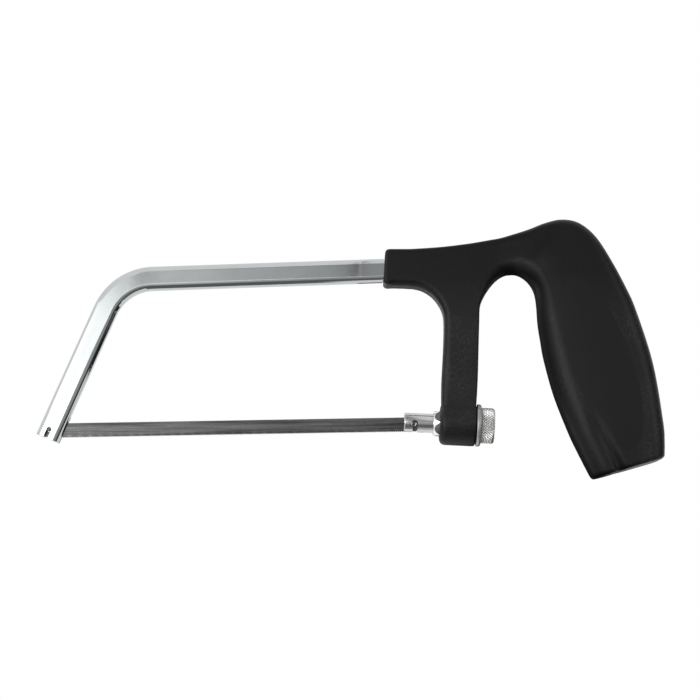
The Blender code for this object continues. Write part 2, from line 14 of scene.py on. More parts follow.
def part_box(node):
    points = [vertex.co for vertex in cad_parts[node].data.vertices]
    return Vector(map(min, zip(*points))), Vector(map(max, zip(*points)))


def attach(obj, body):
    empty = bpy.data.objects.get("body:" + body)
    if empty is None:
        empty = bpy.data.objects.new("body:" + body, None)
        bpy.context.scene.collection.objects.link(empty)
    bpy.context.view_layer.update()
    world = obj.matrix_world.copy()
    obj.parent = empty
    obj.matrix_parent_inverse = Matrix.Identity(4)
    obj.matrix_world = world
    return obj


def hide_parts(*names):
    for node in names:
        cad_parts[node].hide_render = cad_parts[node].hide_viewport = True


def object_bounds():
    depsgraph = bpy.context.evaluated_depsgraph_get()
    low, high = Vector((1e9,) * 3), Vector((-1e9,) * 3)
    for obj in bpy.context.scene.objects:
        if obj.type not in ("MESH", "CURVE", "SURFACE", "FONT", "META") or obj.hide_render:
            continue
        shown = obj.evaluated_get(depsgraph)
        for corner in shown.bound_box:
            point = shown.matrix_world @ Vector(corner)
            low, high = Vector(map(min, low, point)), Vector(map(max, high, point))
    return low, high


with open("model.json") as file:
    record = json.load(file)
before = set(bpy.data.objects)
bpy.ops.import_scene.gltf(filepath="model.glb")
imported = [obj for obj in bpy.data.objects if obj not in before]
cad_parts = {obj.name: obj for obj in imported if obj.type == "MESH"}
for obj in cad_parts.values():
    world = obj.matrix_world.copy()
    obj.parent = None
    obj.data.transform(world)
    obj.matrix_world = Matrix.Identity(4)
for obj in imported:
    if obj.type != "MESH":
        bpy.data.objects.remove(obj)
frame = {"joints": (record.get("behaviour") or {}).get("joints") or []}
CAD_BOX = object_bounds()

at = Matrix.Translation
MM = 0.001
GAP = 0.3 * MM  # clearance between neighbouring pieces


def middle(node):
    """Middle of a node's box."""
    low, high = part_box(node)
    return (low + high) / 2


def extent(node):
    low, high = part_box(node)
    return high - low


JOINTS = {joint["name"]: joint for joint in frame["joints"]}
FRONT_PIN = middle("blade_pin_front")
REAR_PIN = middle("blade_pin_rear")
PIN_RADIUS = extent("blade_pin_front").x / 2
PIN_LENGTH = extent("blade_pin_front").y

# Blade
BLADE_LOW, BLADE_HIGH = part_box("saw_blade")
BLADE_THICKNESS = extent("saw_blade").y
TOOTH_PITCH = 0.794 * MM
TOOTH_DEPTH = 0.45 * MM
TOOTH_LEAN = 0.2  # tooth tip behind its gullet, as a share of the pitch
SET_PERIOD = 4.2 * MM  # length of one wave of the wavy set
SET_THROW = 0.11 * MM  # how far the teeth lean out at the crest of a wave
SET_START = 1.3 * MM  # the set begins this far above the tooth tips
BLADE_CORNER = 1 * MM
TOOTH_SHADE = 0.75  # how dark the teeth are against the strip

# Frame bar
BAR_THICKNESS = extent("frame_bar").y
BAR_HEIGHT = 10.2 * MM
BAR_EDGE_RADIUS = 2.6 * MM
LEG_ANGLE = radians(66)
LEG_AXIS_X = 0.7 * MM
BAR_RISE = radians(1)
CORNER_HEIGHT = 62.3 * MM
BEND_RADIUS = 22 * MM
TIP_BELOW_PIN = 4 * MM
TIP_ROUNDING = 0.25 * MM
KERF_DEPTH = 12 * MM
TANG_LENGTH = 32 * MM
TANG_STEP = 0.5 * MM
FRAME_PIN_PLACES = (0.28, 0.69)
FRAME_PIN_RADIUS = extent("frame_pin_front").x / 2
FRAME_PIN_CHAMFER = 0.4 * MM

# Tensioner: lengths run along the stud's axis from the rear blade pin, towards the nut
TENSION_AT = Vector(JOINTS["nut_turn"]["pos_m"])
TENSION_WAY = Vector(JOINTS["nut_turn"]["axis"])
STUD_ABOVE_PIN = TENSION_AT.z - REAR_PIN.z
BARREL_RADIUS = 3.9 * MM
BARREL_FRONT = 4.1 * MM
BARREL_END = 8 * MM
BARREL_CHAMFER = 0.45 * MM
STUD_KERF_END = 4 * MM
HOOK_STEP = 0.5 * MM
HEX_ACROSS_FLATS = 10 * MM
HEX_LENGTH = 9.4 * MM
HEX_TAPER_RADIUS = 4.85 * MM  # of the taper that bevels the hexagon, at the barrel
HEX_TAPER_SLOPE = 0.36  # how much its radius grows along the stud
# How the hexagon's faces are told apart: flats run along the stud, and the taper's face forward
FLAT_LEAN = 0.01
FLAT_SLACK = 0.01 * MM
TAPER_LEAN = (-0.9, -0.1)
SHANK_RADIUS = 3 * MM
THREAD_PITCH = 1 * MM
THREAD_DEPTH = 0.55 * MM
BOSS_START = 10.6 * MM
BOSS_LENGTH = 14.8 * MM
BOSS_RADIUS = 8.7 * MM
BOSS_FRONT_EDGE = 2.3 * MM
BOSS_REAR_EDGE = 0.7 * MM
HEX_POCKET_DEPTH = 9.2 * MM
WASHER_RADIUS = 8.7 * MM
WASHER_THICKNESS = 1.8 * MM
WASHER_RIM = 0.8 * MM  # rounding towards the nut
NUT_RADIUS = 7.4 * MM
NUT_LENGTH = 5.2 * MM
NUT_EDGE = 0.8 * MM
KNURL_DEPTH = 0.45 * MM
KNURL_COUNT = 42  # diamonds round the nut
KNURL_PITCH = 1.3 * MM  # length of one diamond along the nut
KNURL_CURVE = 1.5  # above 1 the diamonds are rounded
KNURL_SHADE_DEPTHS = (0.85, 0.45)  # shares of the depth from where painted shade darkens the grooves to where the crests keep their full colour
SHANK_SHORT_OF_NUT = 0.8 * MM

# Handle, from the rear pin's X and the bar's axis at the socket mouth
# Each station: lower edge (x, z), upper edge (x, z), half thickness, lower and upper edge radius.
HANDLE_STATIONS = [
    ((-11.7, -6.5), (-10.5, 8.3), 6.6, 2.4, 1.5),
    ((-0.6, -7.1), (-0.3, 8.2), 6.6, 2.4, 1.5),
    ((10.0, -6.0), (12.1, 8.8), 6.6, 2.4, 1.5),
    ((22.0, -4.6), (24.5, 10.1), 6.6, 2.4, 1.6),
    ((33.0, -3.5), (35.5, 11.8), 6.8, 2.6, 1.9),
    ((40.7, -2.4), (43.0, 13.7), 7.6, 3.2, 2.4),
    ((44.2, -2.4), (49.6, 15.6), 8.6, 4.0, 3.0),
    ((47.3, -3.9), (55.9, 17.9), 9.6, 4.8, 3.6),
    ((49.9, -6.5), (62.9, 19.2), 10.6, 5.8, 4.2),
    ((51.7, -10.0), (70.0, 17.6), 11.5, 6.6, 4.8),
    ((52.4, -15.1), (76.8, 11.6), 12.3, 7.4, 5.4),
    ((52.7, -23.0), (82.9, 1.5), 12.8, 8.2, 6.0),
    ((53.6, -30.5), (88.5, -9.8), 13.0, 8.6, 6.6),
    ((54.7, -38.1), (92.5, -19.8), 13.0, 8.8, 7.0),
    ((58.3, -53.1), (98.5, -41.7), 12.9, 8.8, 7.0),
    ((63.7, -68.2), (101.6, -65.5), 12.6, 8.2, 6.4),
    ((67.0, -75.9), (101.9, -73.9), 12.4, 7.8, 6.0),
    ((72.9, -88.4), (101.5, -80.8), 12.0, 7.2, 5.4),
]
GRIP_START = 8  # the sides bulge from this station on
GRIP_CROWN = 0.7 * MM
# The grip grows out of the socket from this station on, rounder below than the socket is:
# half thickness and lower edge radius at each station up to where those above take over.
GRIP_FROM = 3
GRIP_ROOT = [(6.3, 4.0), (6.55, 4.8), (7.4, 5.4), (8.6, 6.0), (9.6, 6.4), (10.6, 6.8)]
# Post: left edge from the boss's front face, and right edge from its rear face
POST_STATIONS = [
    ((1.1, -49.2), (1.0, -49.2)),
    ((2.2, -34.2), (1.8, -34.2)),
    ((2.7, -23.0), (2.4, -22.7)),
    ((2.3, -18.2), (2.8, -16.9)),
    ((0.6, -14.3), (4.2, -13.0)),
    ((-2.1, -10.9), (6.4, -9.2)),
    ((-5.6, -8.5), (9.4, -5.6)),
    ((-8.8, -7.45), (12.3, -3.45)),
]
POST_FOOT = (0.9, -0.5)  # both edges within the boss
POST_HALF = 5.5  # half thickness at the first station
POST_THINS_FROM = -17  # below this height the post gets thinner
THIN_CURVE = 1.5  # slowly at first
THIN_STEPS = 10
END_ROUNDING = 1.2 * MM
# Edge radii along the outline of the socket and the post
MOUTH_EDGE = 1.1
MOUTH_CORNER = 1.8 * MM
LOWER_EDGE = 2.5
LOWER_START = 0.4  # of the way from the mouth to the next station
LEFT_EDGE = 2.7
RIGHT_EDGES = (1.5, 1.5, 1.6, 1.8, 2.4, 3.4, 4.5, 5.0)
ARCH_EDGE = 5.2
UPPER_EDGE = 1.5
INSIDE_GRIP = [(54, -0.5), (57, 6), (49.5, 13.4)]  # where that outline runs on within the grip
HIDDEN_EDGE = 0.4  # there, and inside the boss
# Groove between the front roll of the grip and its side, fading in from its first end
GROOVE = ((69.5, -57.5), (83.5, -87.0))
GROOVE_DEPTH = 2.5 * MM
GROOVE_WIDTH = 1.8 * MM
GROOVE_CURVE = 1.5  # slowly at first
# Smooth bare panel on each side of the grip
PANEL_AT = (76.7, -42.4)
PANEL_LEAN = radians(17.3)
PANEL_SIZE = (12.4 * MM, 37.6 * MM)
PANEL_RIM = 0.96  # where its rim begins, as a share of its size
PANEL_TONE = 0.096  # from the painted shade in the grain's hollows (0) to the painted glints on its tips (1)
# The grain carries painted light and shade: it is paler on the post and at the back, and painted shade keeps
# it dark over the top of the handle
PAINTED_LIGHT_BELOW = (12 * MM, 30 * MM)
PAINTED_LIGHT_POST = (-45 * MM, -30 * MM)
PAINTED_LIGHT_BACK = (6 * MM, 16 * MM)
POST_PAINTED_LIGHT, BACK_PAINTED_LIGHT = 1.7, 1.6
SKIN_VOXEL = 0.5 * MM  # size of the handle's skin cells
SKIN_SMOOTHING = (0.5, 4)  # strength and rounds

# Facets
ARC_STEPS = 8  # of a quarter round
SIDE_STEPS = 6  # along a flat side
SIDE_RIM = 0.02  # share of it that blends into the round
ROUND = 96  # of a full round
PIN_ROUND = 40
PIN_ARC = 3
CHAMFER_ARC = 4
RIM_ARC = 6
THREAD_ROUND = 48
THREAD_STEPS = 8  # to a turn of the thread
KNURL_STEPS = 8  # to a diamond
CHAMFER_ROUND = 90
QUARTER_TURN = [pi / 2 * i / ARC_STEPS for i in range(ARC_STEPS + 1)]
BEND_STEPS = 40
SUBSTEPS = 6  # rings from one station to the next
SMOOTH_ANGLE = radians(28)  # sharper edges stay crisp
LEAST_RADIUS = 0.15 * MM
MERGE = 0.001 * MM  # points this close are one

# Camera, as in the photograph
VIEW_DISTANCE = 750 * MM  # from the middle of the saw
VIEW_ELEVATION = radians(-8.5)
VIEW_ROLL = radians(0.975)  # the blade climbs to the right by this
VIEW_WIDTH = 290.3 * MM  # what the picture spans at the saw
VIEW_OFFSET = (0.93 * MM, 1.38 * MM)  # right of and above the saw's middle
SENSOR = 36  # in millimetres

# Finishes
NOISE_SPAN = (0.3, 0.7)  # most of the noise lies in here
WHITE = (1, 1, 1, 1)

# Stage, in metres
SKY_HIGH, SKY_LOW = 0.5, 0.08  # light from above and from below; it looks white all the same
SKY_SPAN = (-0.3, 0.5)  # heights of a direction where it is low and high
FLOOR_RADIUS = 0.8
FLOOR_SIDES = 128
FLOOR_BELOW = 0.125  # floor under the saw, which is held up by its grip
FLOOR_FADE = (0.2, 0.9)  # shares of the radius between which it fades
LAMPS_AIM_AT = (-0.1, 0, 0)
CARD_RADIUS = 1.2  # front card, round the saw
CARD_STEPS = 48
CARD_DARK = 0.15
FLAG_DARK = 0.02
BROW_FLAG = ((-0.04, 0.045), (-0.6, 0.09))  # Y, and Z of the lower edge, near and far from the saw
HIGH_FLAG = ((-1.1, 0.36), (-0.4, 1.15))  # Y and Z of the lower and upper edge
# Level of the card from left to right: place and strength.
CARD_ACROSS = [(-0.44, 2.0), (-0.4, 1.75), (-0.375, 1.68), (-0.353, 1.6), (-0.342, 1.03), (-0.331, 0.95),
               (-0.321, 0.66), (-0.306, 0.48), (-0.294, 0.74), (-0.274, 0.76), (-0.25, 0.72), (-0.218, 0.64),
               (-0.123, 0.48), (-0.077, 0.41), (0.9, 0.4)]
# How far these levels move to the left at a height.
CARD_SHIFT = [(0.1, 0.03), (0.12, 0.03), (0.15, 0), (0.236, 0), (0.248, 0.018), (0.305, 0.018),
              (0.33, 0.06), (0.42, 0.06)]
LOW_CARD_SPAN = (-66, -92)  # in degrees above the saw
LOW_CARD_SIDES = (-0.42, -0.095)
# Angle above the saw in degrees, and how far the card is from dark (0) to its full level (1) there.
CARD_STOPS = [(-66, 0), (-32, 0), (-14, 1), (28, 1)]
# Cards round the leg, for its outer and its inner edge: their level at places along the leg, and the
# angles that they span at their lower and upper end, in degrees from straight in front outwards.
OUTER_CARD = [(-0.14, 2.0), (0.01, 2.0), (0.04, 1.6), (0.1, 1.5)]
OUTER_CARD_SPANS = ((12.4, 65), (12.4, 65))
INNER_CARD = [(-0.03, 1.9), (0.075, 1.9)]
INNER_CARD_SPANS = ((8.8, 8.0), (8.8, -8.0))
LEG_CARD_RADIUS = 1.1

# Worked-out places
CORNER_X = LEG_AXIS_X + CORNER_HEIGHT / tan(LEG_ANGLE)
SOCKET_X = (REAR_PIN - FRONT_PIN).x + HANDLE_STATIONS[0][0][0] * MM
SOCKET_Z = CORNER_HEIGHT + (SOCKET_X - CORNER_X) * tan(BAR_RISE)
SOCKET_AT = FRONT_PIN + Vector((SOCKET_X, 0, SOCKET_Z))
HANDLE_AT = Vector((REAR_PIN.x, 0, SOCKET_AT.z))
LEG_WAY = Vector((cos(LEG_ANGLE), 0, sin(LEG_ANGLE)))
BAR_WAY = Vector((cos(BAR_RISE), 0, sin(BAR_RISE)))
BOSS_END = BOSS_START + BOSS_LENGTH
WASHER_START = BOSS_END + GAP
WASHER_END = WASHER_START + WASHER_THICKNESS
NUT_START = WASHER_END + GAP
NUT_END = NUT_START + NUT_LENGTH
SHANK_START = BARREL_END + HEX_LENGTH
SHANK_END = NUT_END - SHANK_SHORT_OF_NUT
SHANK_BORE = SHANK_RADIUS + GAP

# Frames that the pieces are built in
LEG_FRAME = at(FRONT_PIN) @ Matrix.Rotation(pi / 2 - LEG_ANGLE, 4, "Y")
STUD_TILT = atan2(-TENSION_WAY.z, TENSION_WAY.x)
TENSION_FRAME = at(TENSION_AT) @ Matrix.Rotation(pi / 2 + STUD_TILT, 4, "Y")
PIN_HOLE_FRAMES = [at(SOCKET_AT + BAR_WAY * TANG_LENGTH * share) for share in FRAME_PIN_PLACES]


# Meshes

def add_object(name, data):
    thing = bpy.data.objects.new(name, data)
    bpy.context.scene.collection.objects.link(thing)
    return thing


def piece(name, bm, place=Matrix.Identity(4)):
    """Turn a bmesh into an object."""
    bmesh.ops.recalc_face_normals(bm, faces=bm.faces)
    mesh = bpy.data.meshes.new(name)
    bm.to_mesh(mesh)
    bm.free()
    thing = add_object(name, mesh)
    thing.matrix_world = place
    return thing


def drop_modifiers(thing):
    """Take a piece's modifiers away, and the shapes that cut it or are joined to it."""
    for step in thing.modifiers:
        if step.type == "BOOLEAN":
            drop_modifiers(step.object)
            bpy.data.objects.remove(step.object, do_unlink=True)
    thing.modifiers.clear()


def settle(thing):
    """Put the modifiers into the mesh and shade it."""
    bpy.context.view_layer.update()
    graph = bpy.context.evaluated_depsgraph_get()
    mesh = bpy.data.meshes.new_from_object(thing.evaluated_get(graph))
    mesh.name = thing.name
    drop_modifiers(thing)
    thing.data = mesh
    mesh.shade_smooth()
    mesh.set_sharp_from_angle(angle=SMOOTH_ANGLE)
    return thing


def keep_inside(thing, low, high):
    """Bring points that smoothing left just outside a box back to it."""
    for vertex in thing.data.vertices:
        vertex.co = [min(max(v, a), b) for v, a, b in zip(vertex.co, low, high)]
    return thing


def boolean(thing, name, bm, place=Matrix.Identity(4), operation="DIFFERENCE"):
    """Cut a piece with a shape or join them, once it is settled."""
    step = thing.modifiers.new(name, "BOOLEAN")
    step.operation = operation
    step.object = piece(name, bm, place)
    step.solver = "EXACT"
    return step.object


def dress(thing, body, node, mat):
    """Give a piece its finish and let it stand for a node of the frame."""
    thing.data.materials.clear()
    thing.data.materials.append(mat)
    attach(thing, body)
    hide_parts(node)


def loft(rings, bm=None):
    """Closed skin through rings that all have the same number of points."""
    bm = bm or bmesh.new()
    loops = [[bm.verts.new(point) for point in ring] for ring in rings]
    count = len(loops[0])
    for near, far in zip(loops, loops[1:]):
        for i in range(count):
            j = (i + 1) % count
            bm.faces.new((near[i], near[j], far[j], far[i]))
    bm.faces.new(reversed(loops[0]))
    bm.faces.new(loops[-1])
    return bm


def prism(outline, depth):
    """Outline in X and Z, pulled out along Y on both sides of the middle plane."""
    return loft([[(x, y, z) for x, z in outline] for y in (-depth / 2, depth / 2)])


def kerf(reach, end):
    """Slit that takes the blade, up to a height."""
    outline = [(-reach, -reach), (reach, -reach), (reach, end), (-reach, end)]
    return prism(outline, BLADE_THICKNESS + 2 * GAP)


def turned(profile, sides=ROUND, turn=0, bm=None):
    """Solid of revolution about Z through (radius, height) points, from one end to the other."""
    angles = [turn + tau * i / sides for i in range(sides)]
    rings = []
    for radius, height in profile:
        rings.append([(radius * cos(a), radius * sin(a), height) for a in angles])
    return loft(rings, bm)


def crosswise(profile):
    """Small solid of revolution about Y."""
    bm = turned(profile, PIN_ROUND)
    bmesh.ops.rotate(bm, verts=bm.verts, matrix=Matrix.Rotation(-pi / 2, 3, "X"))
    return bm


def ring_solid(profiles):
    """Solid round a bore about Z: one closed (radius, height) profile for each column."""
    bm = bmesh.new()
    loops = []
    for i, profile in enumerate(profiles):
        turn = tau * i / len(profiles)
        loops.append([bm.verts.new((r * cos(turn), r * sin(turn), h)) for r, h in profile])
    for near, far in zip(loops, loops[1:] + loops[:1]):
        for k in range(len(near)):
            n = (k + 1) % len(near)
            bm.faces.new((near[k], far[k], far[n], near[n]))
    return bm


def arc(centre, radius, start, end, steps=ARC_STEPS):
    """Points on an arc in a plane, angles in radians."""
    points = []
    for i in range(steps + 1):
        a = start + (end - start) * i / steps
        points.append((centre[0] + radius * cos(a), centre[1] + radius * sin(a)))
    return points


def rounded_section(height, half, low, high, crown=0, inset=0):
    """Ring of (along, y) points: a rounded rectangle that may bulge at its sides."""
    half = half - inset
    top = height - inset
    low, high = [max(radius - inset, LEAST_RADIUS) for radius in (low, high)]
    side = [(inset, 0)]
    side += arc((inset + low, half - low), low, pi, pi / 2)
    start, end = inset + low, top - high
    for f in (SIDE_RIM, *[i / SIDE_STEPS for i in range(1, SIDE_STEPS)], 1 - SIDE_RIM):
        side.append((start + (end - start) * f, half + 4 * crown * f * (1 - f)))
    side += arc((top - high, half - high), high, pi / 2, 0)
    side.append((top, 0))
    return side + [(along, -y) for along, y in reversed(side[1:-1])]


def station_ring(station, inset=0, shift=Vector((0, 0, 0))):
    """Section of the handle between a lower and an upper edge point."""
    low, high, *sizes = station
    along = (high - low).normalized()
    points = rounded_section((high - low).length, *sizes, inset)
    return [low + along * a + Vector((0, y, 0)) + shift for a, y in points]


def between(before, start, end, after, f):
    """Smooth curve from start to end that leaves and arrives along its neighbours."""
    a = (end - before) / 2
    b = (after - start) / 2
    h1 = 2 * f ** 3 - 3 * f ** 2 + 1
    h2 = f ** 3 - 2 * f ** 2 + f
    h3 = -2 * f ** 3 + 3 * f ** 2
    h4 = f ** 3 - f ** 2
    return start * h1 + a * h2 + end * h3 + b * h4


def smooth_stations(stations, steps):
    """Add stations between those given, on smooth curves through them."""
    last = len(stations) - 1
    out = []
    for i in range(last):
        four = [stations[max(i - 1, 0)], stations[i], stations[i + 1], stations[min(i + 2, last)]]
        for k in range(steps):
            out.append([between(*values, k / steps) for values in zip(*four)])
    out.append(list(stations[last]))
    return out


def rounded_ends(stations, rounding):
    """Rings through the stations, with the rims of both ends rounded off."""
    def rim(end, beside):
        into = ((beside[0] + beside[1]) - (end[0] + end[1])).normalized() * rounding
        return [station_ring(end, rounding * (1 - sin(a)), into * (1 - cos(a))) for a in QUARTER_TURN]

    rings = rim(stations[0], stations[1]) + [station_ring(station) for station in stations[1:-1]]
    return rings + rim(stations[-1], stations[-2])[::-1]


def zigzag(turn):
    """1 at whole turns and 0 halfway between."""
    return abs(2 * (turn % 1) - 1)


def threaded(start, end):
    """Shank with a screw thread about Z: a ring of points for each step of the height."""
    rows = int((end - start) / THREAD_PITCH * THREAD_STEPS)
    rings = []
    for row in range(rows + 1):
        height = start + (end - start) * row / rows
        fade = min(1, (height - start) / THREAD_PITCH, (end - height) / THREAD_PITCH)
        ring = []
        for i in range(THREAD_ROUND):
            wave = zigzag(height / THREAD_PITCH - i / THREAD_ROUND)
            r = SHANK_RADIUS - THREAD_DEPTH + THREAD_DEPTH * wave * fade
            a = tau * i / THREAD_ROUND
            ring.append((r * cos(a), r * sin(a), height))
        rings.append(ring)
    return loft(rings)


# Frame bar

def across(angle):
    """Way at right angles to a bar that climbs at an angle."""
    return Vector((-sin(angle), 0, cos(angle)))


def bar_ring(point, angle, grow=0):
    """Section of the bar across its axis; grow widens or narrows it."""
    size = BAR_HEIGHT + 2 * grow
    radius = BAR_EDGE_RADIUS + grow
    points = rounded_section(size, BAR_THICKNESS / 2 + grow, radius, radius)
    return [point + across(angle) * (a - size / 2) + Vector((0, y, 0)) for a, y in points]


def handle_point(place, start=0):
    return HANDLE_AT + Vector((place[0], 0, place[1])) * MM + Vector((start, 0, 0))


def shoulder_ring(grow=0):
    """Section of the bar where it meets the slanted mouth of the socket."""
    low, high = [handle_point(place) for place in HANDLE_STATIONS[0][:2]]
    lean = (high.x - low.x) / (high.z - low.z)
    ring = []
    for point in bar_ring(SOCKET_AT, BAR_RISE, grow):
        way = low.x + lean * (point.z - low.z) - GAP - point.x
        ring.append(point + BAR_WAY * way)
    return ring


def make_bar(mat):
    corner = FRONT_PIN + Vector((CORNER_X, 0, CORNER_HEIGHT))
    leg_end = corner - LEG_WAY * BEND_RADIUS * tan((LEG_ANGLE - BAR_RISE) / 2)
    centre = leg_end - across(LEG_ANGLE) * BEND_RADIUS
    tip = FRONT_PIN + Vector((LEG_AXIS_X, 0, 0)) - LEG_WAY * TIP_BELOW_PIN
    rings = []
    for a in QUARTER_TURN:
        rings.append(bar_ring(tip + LEG_WAY * TIP_ROUNDING * (1 - cos(a)), LEG_ANGLE,
                              TIP_ROUNDING * (sin(a) - 1)))
    for i in range(BEND_STEPS + 1):
        angle = LEG_ANGLE + (BAR_RISE - LEG_ANGLE) * i / BEND_STEPS
        rings.append(bar_ring(centre + across(angle) * BEND_RADIUS, angle))
    rings += [shoulder_ring(), shoulder_ring(-TANG_STEP)]
    rings.append(bar_ring(SOCKET_AT + BAR_WAY * TANG_LENGTH, BAR_RISE, -TANG_STEP))
    bar = piece("plated_frame_bar", loft(rings))

    reach = 2 * BAR_HEIGHT
    boolean(bar, "cut_kerf", kerf(reach, KERF_DEPTH - TIP_BELOW_PIN), LEG_FRAME)
    wide = PIN_RADIUS + GAP
    slot = [(-wide, -reach), (wide, -reach)] + arc((0, 0), wide, 0, pi)
    boolean(bar, "cut_slot", prism(slot, reach), LEG_FRAME)
    wide = FRAME_PIN_RADIUS + GAP
    for place in PIN_HOLE_FRAMES:
        boolean(bar, "cut_pin_hole", crosswise([(wide, -reach), (wide, reach)]), place)
    dress(settle(bar), "frame", "frame_bar", mat)


# Handle

def round_corner(before, corner, after, size, radius):
    """Outline points round a corner, each with its edge radius."""
    start = corner + (before - corner).normalized() * size
    end = corner + (after - corner).normalized() * size
    points = []
    for i in range(ARC_STEPS + 1):
        f = i / ARC_STEPS
        points.append([start * (1 - f) ** 2 + corner * 2 * f * (1 - f) + end * f ** 2, radius * MM])
    return points


def socket_outline():
    """Outline of the socket and the post with an edge radius at each point, from the mouth round."""
    low = [handle_point(station[0]) for station in HANDLE_STATIONS]
    high = [handle_point(station[1]) for station in HANDLE_STATIONS]
    left = [handle_point(station[0], BOSS_START) for station in POST_STATIONS]
    right = [handle_point(station[1], BOSS_END) for station in POST_STATIONS]
    foot = TENSION_AT.z - (BOSS_START + BOSS_END) / 2 * tan(STUD_TILT)
    foot_left = Vector((REAR_PIN.x + BOSS_START + POST_FOOT[0] * MM, 0, foot))
    foot_right = Vector((REAR_PIN.x + BOSS_END + POST_FOOT[1] * MM, 0, foot))
    lower = [[low[0].lerp(low[1], LOWER_START), LOWER_EDGE], [low[1], LOWER_EDGE]]
    lower += [[point, LEFT_EDGE] for point in reversed(left)] + [[foot_left, HIDDEN_EDGE]]
    upper = [[foot_right, HIDDEN_EDGE]] + [list(pair) for pair in zip(right, RIGHT_EDGES)]
    upper += [[point, ARCH_EDGE] for point in low[GRIP_FROM + 2:GRIP_FROM + 4]]
    upper += [[handle_point(place), HIDDEN_EDGE] for place in INSIDE_GRIP]
    upper += [[point, UPPER_EDGE] for point in high[GRIP_FROM + 1:0:-1]]
    outline = round_corner(high[0], low[0], low[1], MOUTH_CORNER, MOUTH_EDGE)
    for run in (lower, upper):
        outline += smooth_stations([[point, radius * MM] for point, radius in run], SUBSTEPS)
    return outline + round_corner(high[1], high[0], low[0], MOUTH_CORNER, MOUTH_EDGE)


def socket_rings():
    """Rings from one side of the socket and post to the other, rounded off along their outline."""
    outline = socket_outline()
    count = len(outline)
    half = HANDLE_STATIONS[0][2] * MM
    side = []
    for a in QUARTER_TURN:
        ring = []
        for i, (point, radius) in enumerate(outline):
            along = (outline[(i + 1) % count][0] - outline[i - 1][0]).normalized()
            inward = Vector((-along.z, 0, along.x))
            out = half - radius * (1 - sin(a))
            ring.append(point + inward * radius * (1 - cos(a)) + Vector((0, out, 0)))
        side.append(ring)
    far_side = [[Vector((point.x, -point.y, point.z)) for point in ring] for ring in reversed(side)]
    return far_side + side


def socket_plate():
    """Socket and post as one plate, which gets thinner down the post."""
    bm = loft(socket_rings())
    start = HANDLE_AT.z + POST_THINS_FROM * MM
    end = handle_point(POST_STATIONS[0][0]).z
    thinnest = POST_HALF / HANDLE_STATIONS[0][2]
    for i in range(THIN_STEPS + 1):
        level = start + (end - start) * i / THIN_STEPS
        bmesh.ops.bisect_plane(bm, geom=[*bm.verts, *bm.edges, *bm.faces], plane_co=(0, 0, level),
                               plane_no=(0, 0, 1))
    for vertex in bm.verts:
        down = min(max((start - vertex.co.z) / (start - end), 0), 1)
        vertex.co.y *= 1 + (thinnest - 1) * down ** THIN_CURVE
    return bm


def press_groove(thing):
    """Press the groove behind the front roll into both sides of the grip."""
    start, end = [handle_point(place) for place in GROOVE]
    way = end - start
    sideways = Vector((-way.z, 0, way.x)).normalized()
    for vertex in thing.data.vertices:
        flat = Vector((vertex.co.x, 0, vertex.co.z)) - start
        along = flat.dot(way) / way.length_squared
        if along <= 0:
            continue
        aside = flat.dot(sideways) / GROOVE_WIDTH
        fade = min(along, 1) ** GROOVE_CURVE * exp(-aside ** 2)
        side = min(max(vertex.co.y / (2 * GROOVE_WIDTH), -1), 1)
        vertex.co.y -= side * fade * GROOVE_DEPTH


def make_handle(mat):
    stations = []
    for i, (low, high, *sizes) in enumerate(HANDLE_STATIONS):
        crown = GRIP_CROWN if i >= GRIP_START else 0
        if GRIP_FROM <= i < GRIP_FROM + len(GRIP_ROOT):
            sizes[:2] = GRIP_ROOT[i - GRIP_FROM]
        stations.append([handle_point(low), handle_point(high), *[v * MM for v in sizes], crown])
    bm = socket_plate()
    loft(rounded_ends(smooth_stations(stations[GRIP_FROM:], SUBSTEPS), END_ROUNDING), bm)

    front, rear = BOSS_FRONT_EDGE, BOSS_REAR_EDGE
    profile = arc((BOSS_RADIUS - front, BOSS_START + front), front, -pi / 2, 0)
    profile += arc((BOSS_RADIUS - rear, BOSS_END - rear), rear, 0, pi / 2)
    count = len(bm.verts)
    turned(profile, bm=bm)
    bmesh.ops.transform(bm, matrix=TENSION_FRAME, verts=list(bm.verts)[count:])
    handle = piece("black_handle", bm)

    skin = handle.modifiers.new("skin", "REMESH")
    skin.mode = "VOXEL"
    skin.voxel_size = SKIN_VOXEL
    soften = handle.modifiers.new("soften", "SMOOTH")
    soften.factor, soften.iterations = SKIN_SMOOTHING
    press_groove(settle(handle))

    room = GAP - TANG_STEP
    pocket = [bar_ring(SOCKET_AT - BAR_WAY * TANG_LENGTH / 4, BAR_RISE, room)]
    pocket.append(bar_ring(SOCKET_AT + BAR_WAY * (TANG_LENGTH + GAP), BAR_RISE, room))
    boolean(handle, "cut_socket", loft(pocket))
    corner = (HEX_ACROSS_FLATS / 2 + GAP) / cos(pi / 6)
    depth = BOSS_START + HEX_POCKET_DEPTH
    hollow = turned([(corner, BOSS_START - BOSS_LENGTH / 4), (corner, depth)], 6, pi / 6)
    boolean(handle, "cut_hex", hollow, TENSION_FRAME)
    bore = turned([(SHANK_BORE, depth - GAP), (SHANK_BORE, BOSS_END + BOSS_LENGTH / 4)])
    boolean(handle, "cut_bore", bore, TENSION_FRAME)
    near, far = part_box("frame_pin_front")
    wide = FRAME_PIN_RADIUS + GAP
    for place in PIN_HOLE_FRAMES:
        boolean(handle, "cut_pin", crosswise([(wide, near.y - GAP), (wide, 2 * far.y)]), place)
    dress(keep_inside(settle(handle), *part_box("handle")), "frame", "handle", mat)


# Pins

def make_pins(kind, radius, chamfer, body, mat):
    for node in (kind + "_front", kind + "_rear"):
        half = extent(node).y / 2
        profile = arc((radius - chamfer, chamfer - half), chamfer, -pi / 2, 0, PIN_ARC)
        profile += arc((radius - chamfer, half - chamfer), chamfer, 0, pi / 2, PIN_ARC)
        pin = piece("steel_" + node, crosswise(profile), at(middle(node)))
        dress(settle(pin), body, node, mat)


# Blade

